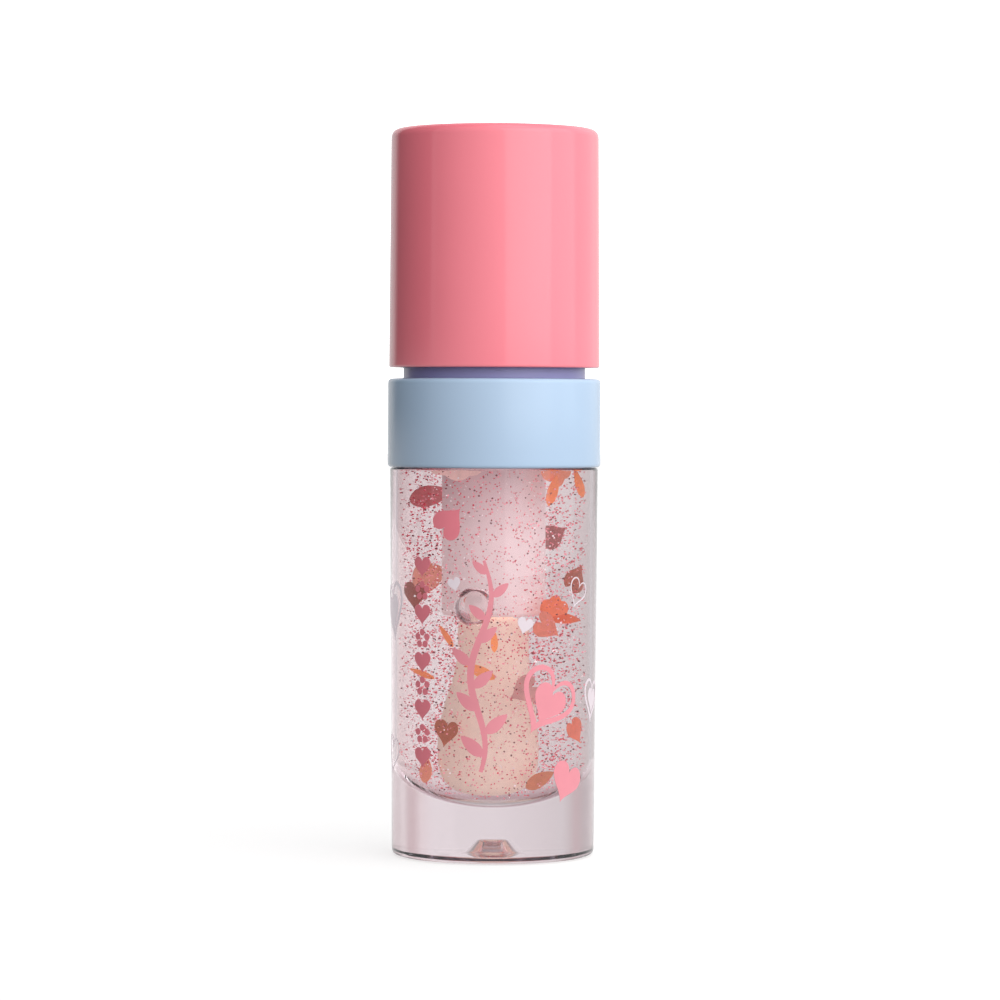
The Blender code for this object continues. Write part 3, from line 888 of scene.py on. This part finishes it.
def add_garland(bm):
    """A column of small hearts and five-petalled flowers up the left of the front."""
    azimuth, low_z, high_z, count = -42.7, 10.6, 30.0, 9
    petals, petal_reach, petal_size = 5, 0.66, 0.7
    for i in range(count):
        place = on_wall(azimuth, low_z + (high_z - low_z) * i / (count - 1))
        if i % 2 == 0:
            plate(bm, heart(2.2, 2.1), place)
            continue
        for k in range(petals):
            turn = math.tau * k / petals
            hub_u = petal_reach * math.sin(turn)
            hub_v = petal_reach * math.cos(turn)
            plate(bm, [(u + hub_u, v + hub_v) for u, v in dot(petal_size, petal_size)], place, rings=2)


def add_vine(bm):
    """A brushed vine with leaves up the middle of the front."""
    place = on_wall(-3.6, 20.2)
    low, high = -10.8, 10.6

    def spine(t):
        return Vector((-0.3 + 0.9 * math.sin(math.tau * (1.4 * t + 0.1)) - 0.8 * (1 - t),
                       low + (high - low) * t))

    steps = 60
    points = [spine(i / steps) for i in range(steps + 1)]
    widths = [0.3 + 0.42 * math.sin(math.pi * min(1, 0.08 + 0.92 * i / steps)) for i in range(steps + 1)]
    ribbon(bm, points, widths, place)
    leaves = 9
    for i in range(leaves):
        t = 0.07 + 0.86 * i / (leaves - 1)
        side = 1 if i % 2 else -1
        size = 1.0 - 0.4 * t
        direction = Vector((side * 0.75, 0.65)).normalized()
        centre = spine(t) + direction * (0.25 + 1.5 * size)
        lean = math.atan2(direction.x, direction.y)
        turn = Matrix.Rotation(-lean, 2)
        leaf = [centre + turn @ Vector(spot) for spot in petal(1.35 * size, 3.1 * size)]
        plate(bm, [tuple(spot) for spot in leaf], place)


def make_prints():
    """Three inks, each as one piece of all its prints."""
    pink = bmesh.new()
    add_prints(pink, PINK_PRINTS)
    add_vine(pink)
    to_piece("print_pink_motifs", pink, [ink_finish("ink_pink", linear(230, 141, 153))], "root")
    deep = bmesh.new()
    add_prints(deep, DEEP_PRINTS)
    add_garland(deep)
    to_piece("print_rose_motifs", deep, [ink_finish("ink_rose", linear(236, 128, 142))], "root")
    white = bmesh.new()
    add_prints(white, WHITE_PRINTS)
    to_piece("print_white_motifs", white, [ink_finish("ink_white", linear(182, 171, 177), WHITE_INK_GLOW)],
             "root")


# ---------------------------------------------------------------- studio, in metres

FLOOR_R = 3.0
FLOOR_GAP = 0.0001


def make_floor():
    """White paper under the tube, which only the camera and reflections see."""
    bm = bmesh.new()
    bmesh.ops.create_circle(bm, cap_ends=True, segments=96, radius=FLOOR_R)
    mesh = bpy.data.meshes.new("studio_floor")
    bm.to_mesh(mesh)
    bm.free()
    paper = Finish("floor_paper", (0.35, 0.35, 0.35, 1.0), 0.9)
    paper.set("Emission Color", (1.0, 1.0, 1.0, 1.0))
    paper.set("Emission Strength", 0.68)
    mesh.materials.append(paper.bump(40.0, 0.02, 0.2).material)
    floor = bpy.data.objects.new("studio_floor", mesh)
    bpy.context.scene.collection.objects.link(floor)
    floor.location.z = -FLOOR_GAP
    floor.visible_diffuse = False
    floor.visible_transmission = False


# The studio round the object, as brightness against azimuth in degrees: a pale backdrop behind, dark on the
# left, and a wide graded softbox from front left to right. Then brightness against the sine of elevation.
STUDIO_STRENGTH = 2.0
STUDIO_ROUND = ((-180, 0.96), (-144, 0.96), (-132, 0.10), (-75, 0.10), (-72, 0.7), (-66, 0.45), (-20, 1.15),
                (20, 1.8), (40, 2.0), (96, 2.0), (102, 1.2), (140, 1.2), (148, 0.96), (180, 0.96))
STUDIO_UPWARDS = ((-1.0, 0.15), (-0.12, 0.2), (0.0, 1.0), (0.6, 1.0), (0.8, 0.6), (1.0, 0.6))
# What is seen through the clear pieces, where pale cards behind the tube stand in for the backdrop.
CARDS_ROUND = ((-180, 0.97), (-156, (0.87, 0.86, 0.86)), (-146, 0.82), (-139, (0.70, 0.66, 0.65)),
               (-134, (0.66, 0.54, 0.54)), (-122, (0.50, 0.45, 0.45)), (-100, (0.50, 0.40, 0.41)),
               (-84, 0.3), (-74, 0.14), (-66, 0.6), (-20, 1.55), (20, 1.95), (40, 2.0), (72, 2.0),
               (80, (0.60, 0.46, 0.46)), (105, (0.62, 0.50, 0.50)), (127, (0.80, 0.75, 0.74)),
               (133, (0.66, 0.54, 0.54)), (138, (0.68, 0.55, 0.55)), (145, (0.92, 0.86, 0.86)), (153, 0.96),
               (180, 0.97))
CARDS_UPWARDS = ((-1.0, (0.45, 0.30, 0.34)), (-0.5, (0.60, 0.45, 0.48)), (-0.3, (0.9, 0.84, 0.85)),
                 (-0.104, 0.92), (-0.088, 1.0), (0.6, 1.0), (0.8, 0.6), (1.0, 0.6))


def level_ramp(nodes, stops, low, high, top):
    """A ramp with the stops' levels, grey or coloured, placed from low to high and scaled to a top of 1."""
    ramp = nodes.new("ShaderNodeValToRGB")
    elements = ramp.color_ramp.elements
    for i, (place, level) in enumerate(stops):
        position = (place - low) / (high - low)
        if i == 0:
            stop = elements[0]
        elif i == len(stops) - 1:
            stop = elements[-1]
        else:
            stop = elements.new(position)
        stop.position = position
        shades = level if isinstance(level, tuple) else (level, level, level)
        stop.color = (*(shade / top for shade in shades), 1.0)
    return ramp


def math_node(nodes, links, operation, *values):
    """A Math node fed with numbers or with other nodes' outputs."""
    node = nodes.new("ShaderNodeMath")
    node.operation = operation
    for socket, value in zip(node.inputs, values):
        if isinstance(value, (int, float)):
            socket.default_value = value
        else:
            links.new(value, socket)
    return node.outputs[0]


def surroundings(nodes, links, turn, rise, stops_round, stops_upwards):
    """Brightness round the object times brightness upwards."""
    around = level_ramp(nodes, stops_round, -180, 180, STUDIO_STRENGTH)
    upwards = level_ramp(nodes, stops_upwards, -1.0, 1.0, 1.0)
    links.new(turn, around.inputs["Fac"])
    links.new(rise, upwards.inputs["Fac"])
    product = nodes.new("ShaderNodeVectorMath")
    product.operation = "MULTIPLY"
    links.new(around.outputs["Color"], product.inputs[0])
    links.new(upwards.outputs["Color"], product.inputs[1])
    return product.outputs["Vector"]


def blend(nodes, links, factor, first, second):
    """The first colour where the factor is 0, the second where it is 1."""
    node = nodes.new("ShaderNodeMix")
    node.data_type = "RGBA"
    links.new(factor, node.inputs["Factor"])
    for socket, value in ((node.inputs["A"], first), (node.inputs["B"], second)):
        if isinstance(value, tuple):
            socket.default_value = value
        else:
            links.new(value, socket)
    return node.outputs["Result"]


def make_world():
    """White to the camera, the cards to what looks through the clear pieces, the studio to all else."""
    world = bpy.data.worlds.new("studio")
    world.use_nodes = True
    nodes, links = world.node_tree.nodes, world.node_tree.links
    split = nodes.new("ShaderNodeSeparateXYZ")
    links.new(nodes.new("ShaderNodeTexCoord").outputs["Generated"], split.inputs["Vector"])
    frontwards = math_node(nodes, links, "MULTIPLY", split.outputs["Y"], -1.0)
    azimuth = math_node(nodes, links, "ARCTAN2", split.outputs["X"], frontwards)
    turn = math_node(nodes, links, "MULTIPLY_ADD", azimuth, 1 / math.tau, 0.5)
    rise = math_node(nodes, links, "MULTIPLY_ADD", split.outputs["Z"], 0.5, 0.5)
    studio = surroundings(nodes, links, turn, rise, STUDIO_ROUND, STUDIO_UPWARDS)
    cards = surroundings(nodes, links, turn, rise, CARDS_ROUND, CARDS_UPWARDS)
    path = nodes.new("ShaderNodeLightPath")
    seen = blend(nodes, links, path.outputs["Is Transmission Ray"], studio, cards)
    shown = blend(nodes, links, path.outputs["Is Camera Ray"], seen, (1.0, 1.0, 1.0, 1.0))
    links.new(shown, nodes["Background"].inputs["Color"])
    nodes["Background"].inputs["Strength"].default_value = STUDIO_STRENGTH
    bpy.context.scene.world = world


def add_softbox(name, azimuth, elevation, distance, width, height, radiance):
    """A soft area light that faces the middle of the tube."""
    light = bpy.data.lights.new(name, "AREA")
    light.shape = "RECTANGLE"
    light.size = width
    light.size_y = height
    light.energy = radiance * math.pi * width * height
    box = bpy.data.objects.new(name, light)
    bpy.context.scene.collection.objects.link(box)
    around, up = math.radians(azimuth), math.radians(elevation)
    target = Vector((0.0, 0.0, 0.04))
    away = Vector((math.sin(around) * math.cos(up), -math.cos(around) * math.cos(up), math.sin(up)))
    box.location = target + away * distance
    box.rotation_euler = away.to_track_quat("Z", "Y").to_euler()
    box.visible_camera = False
    return box


def make_camera():
    camera_data = bpy.data.cameras.new("camera")
    camera_data.sensor_width = 36.0
    camera_data.lens = 140.4
    camera_data.clip_start = 0.01
    camera_data.clip_end = 20.0
    camera = bpy.data.objects.new("camera", camera_data)
    bpy.context.scene.collection.objects.link(camera)
    camera.location = (0.00060, -0.4037, 0.0470)
    camera.rotation_euler = Euler((math.radians(90 - 1.47), math.radians(-0.2), 0.0))
    bpy.context.scene.camera = camera


# ---------------------------------------------------------------- build

make_camera()
make_world()
make_floor()
add_softbox("key_light", 38, 16, 0.9, 0.9, 0.9, 0.8)
add_softbox("top_light", 20, 65, 0.8, 0.5, 0.4, 0.5)
bpy.context.scene.view_settings.view_transform = "Standard"

make_bottle()
make_gel()
make_collar()
make_wiper()
make_cap_shell()
make_inner_cap()
make_washer()
make_stem()
make_tip()
foil_chance = random.Random(3)
for foil_row in FOILS:
    make_foil(foil_row, foil_chance)
make_glitter()
make_prints()
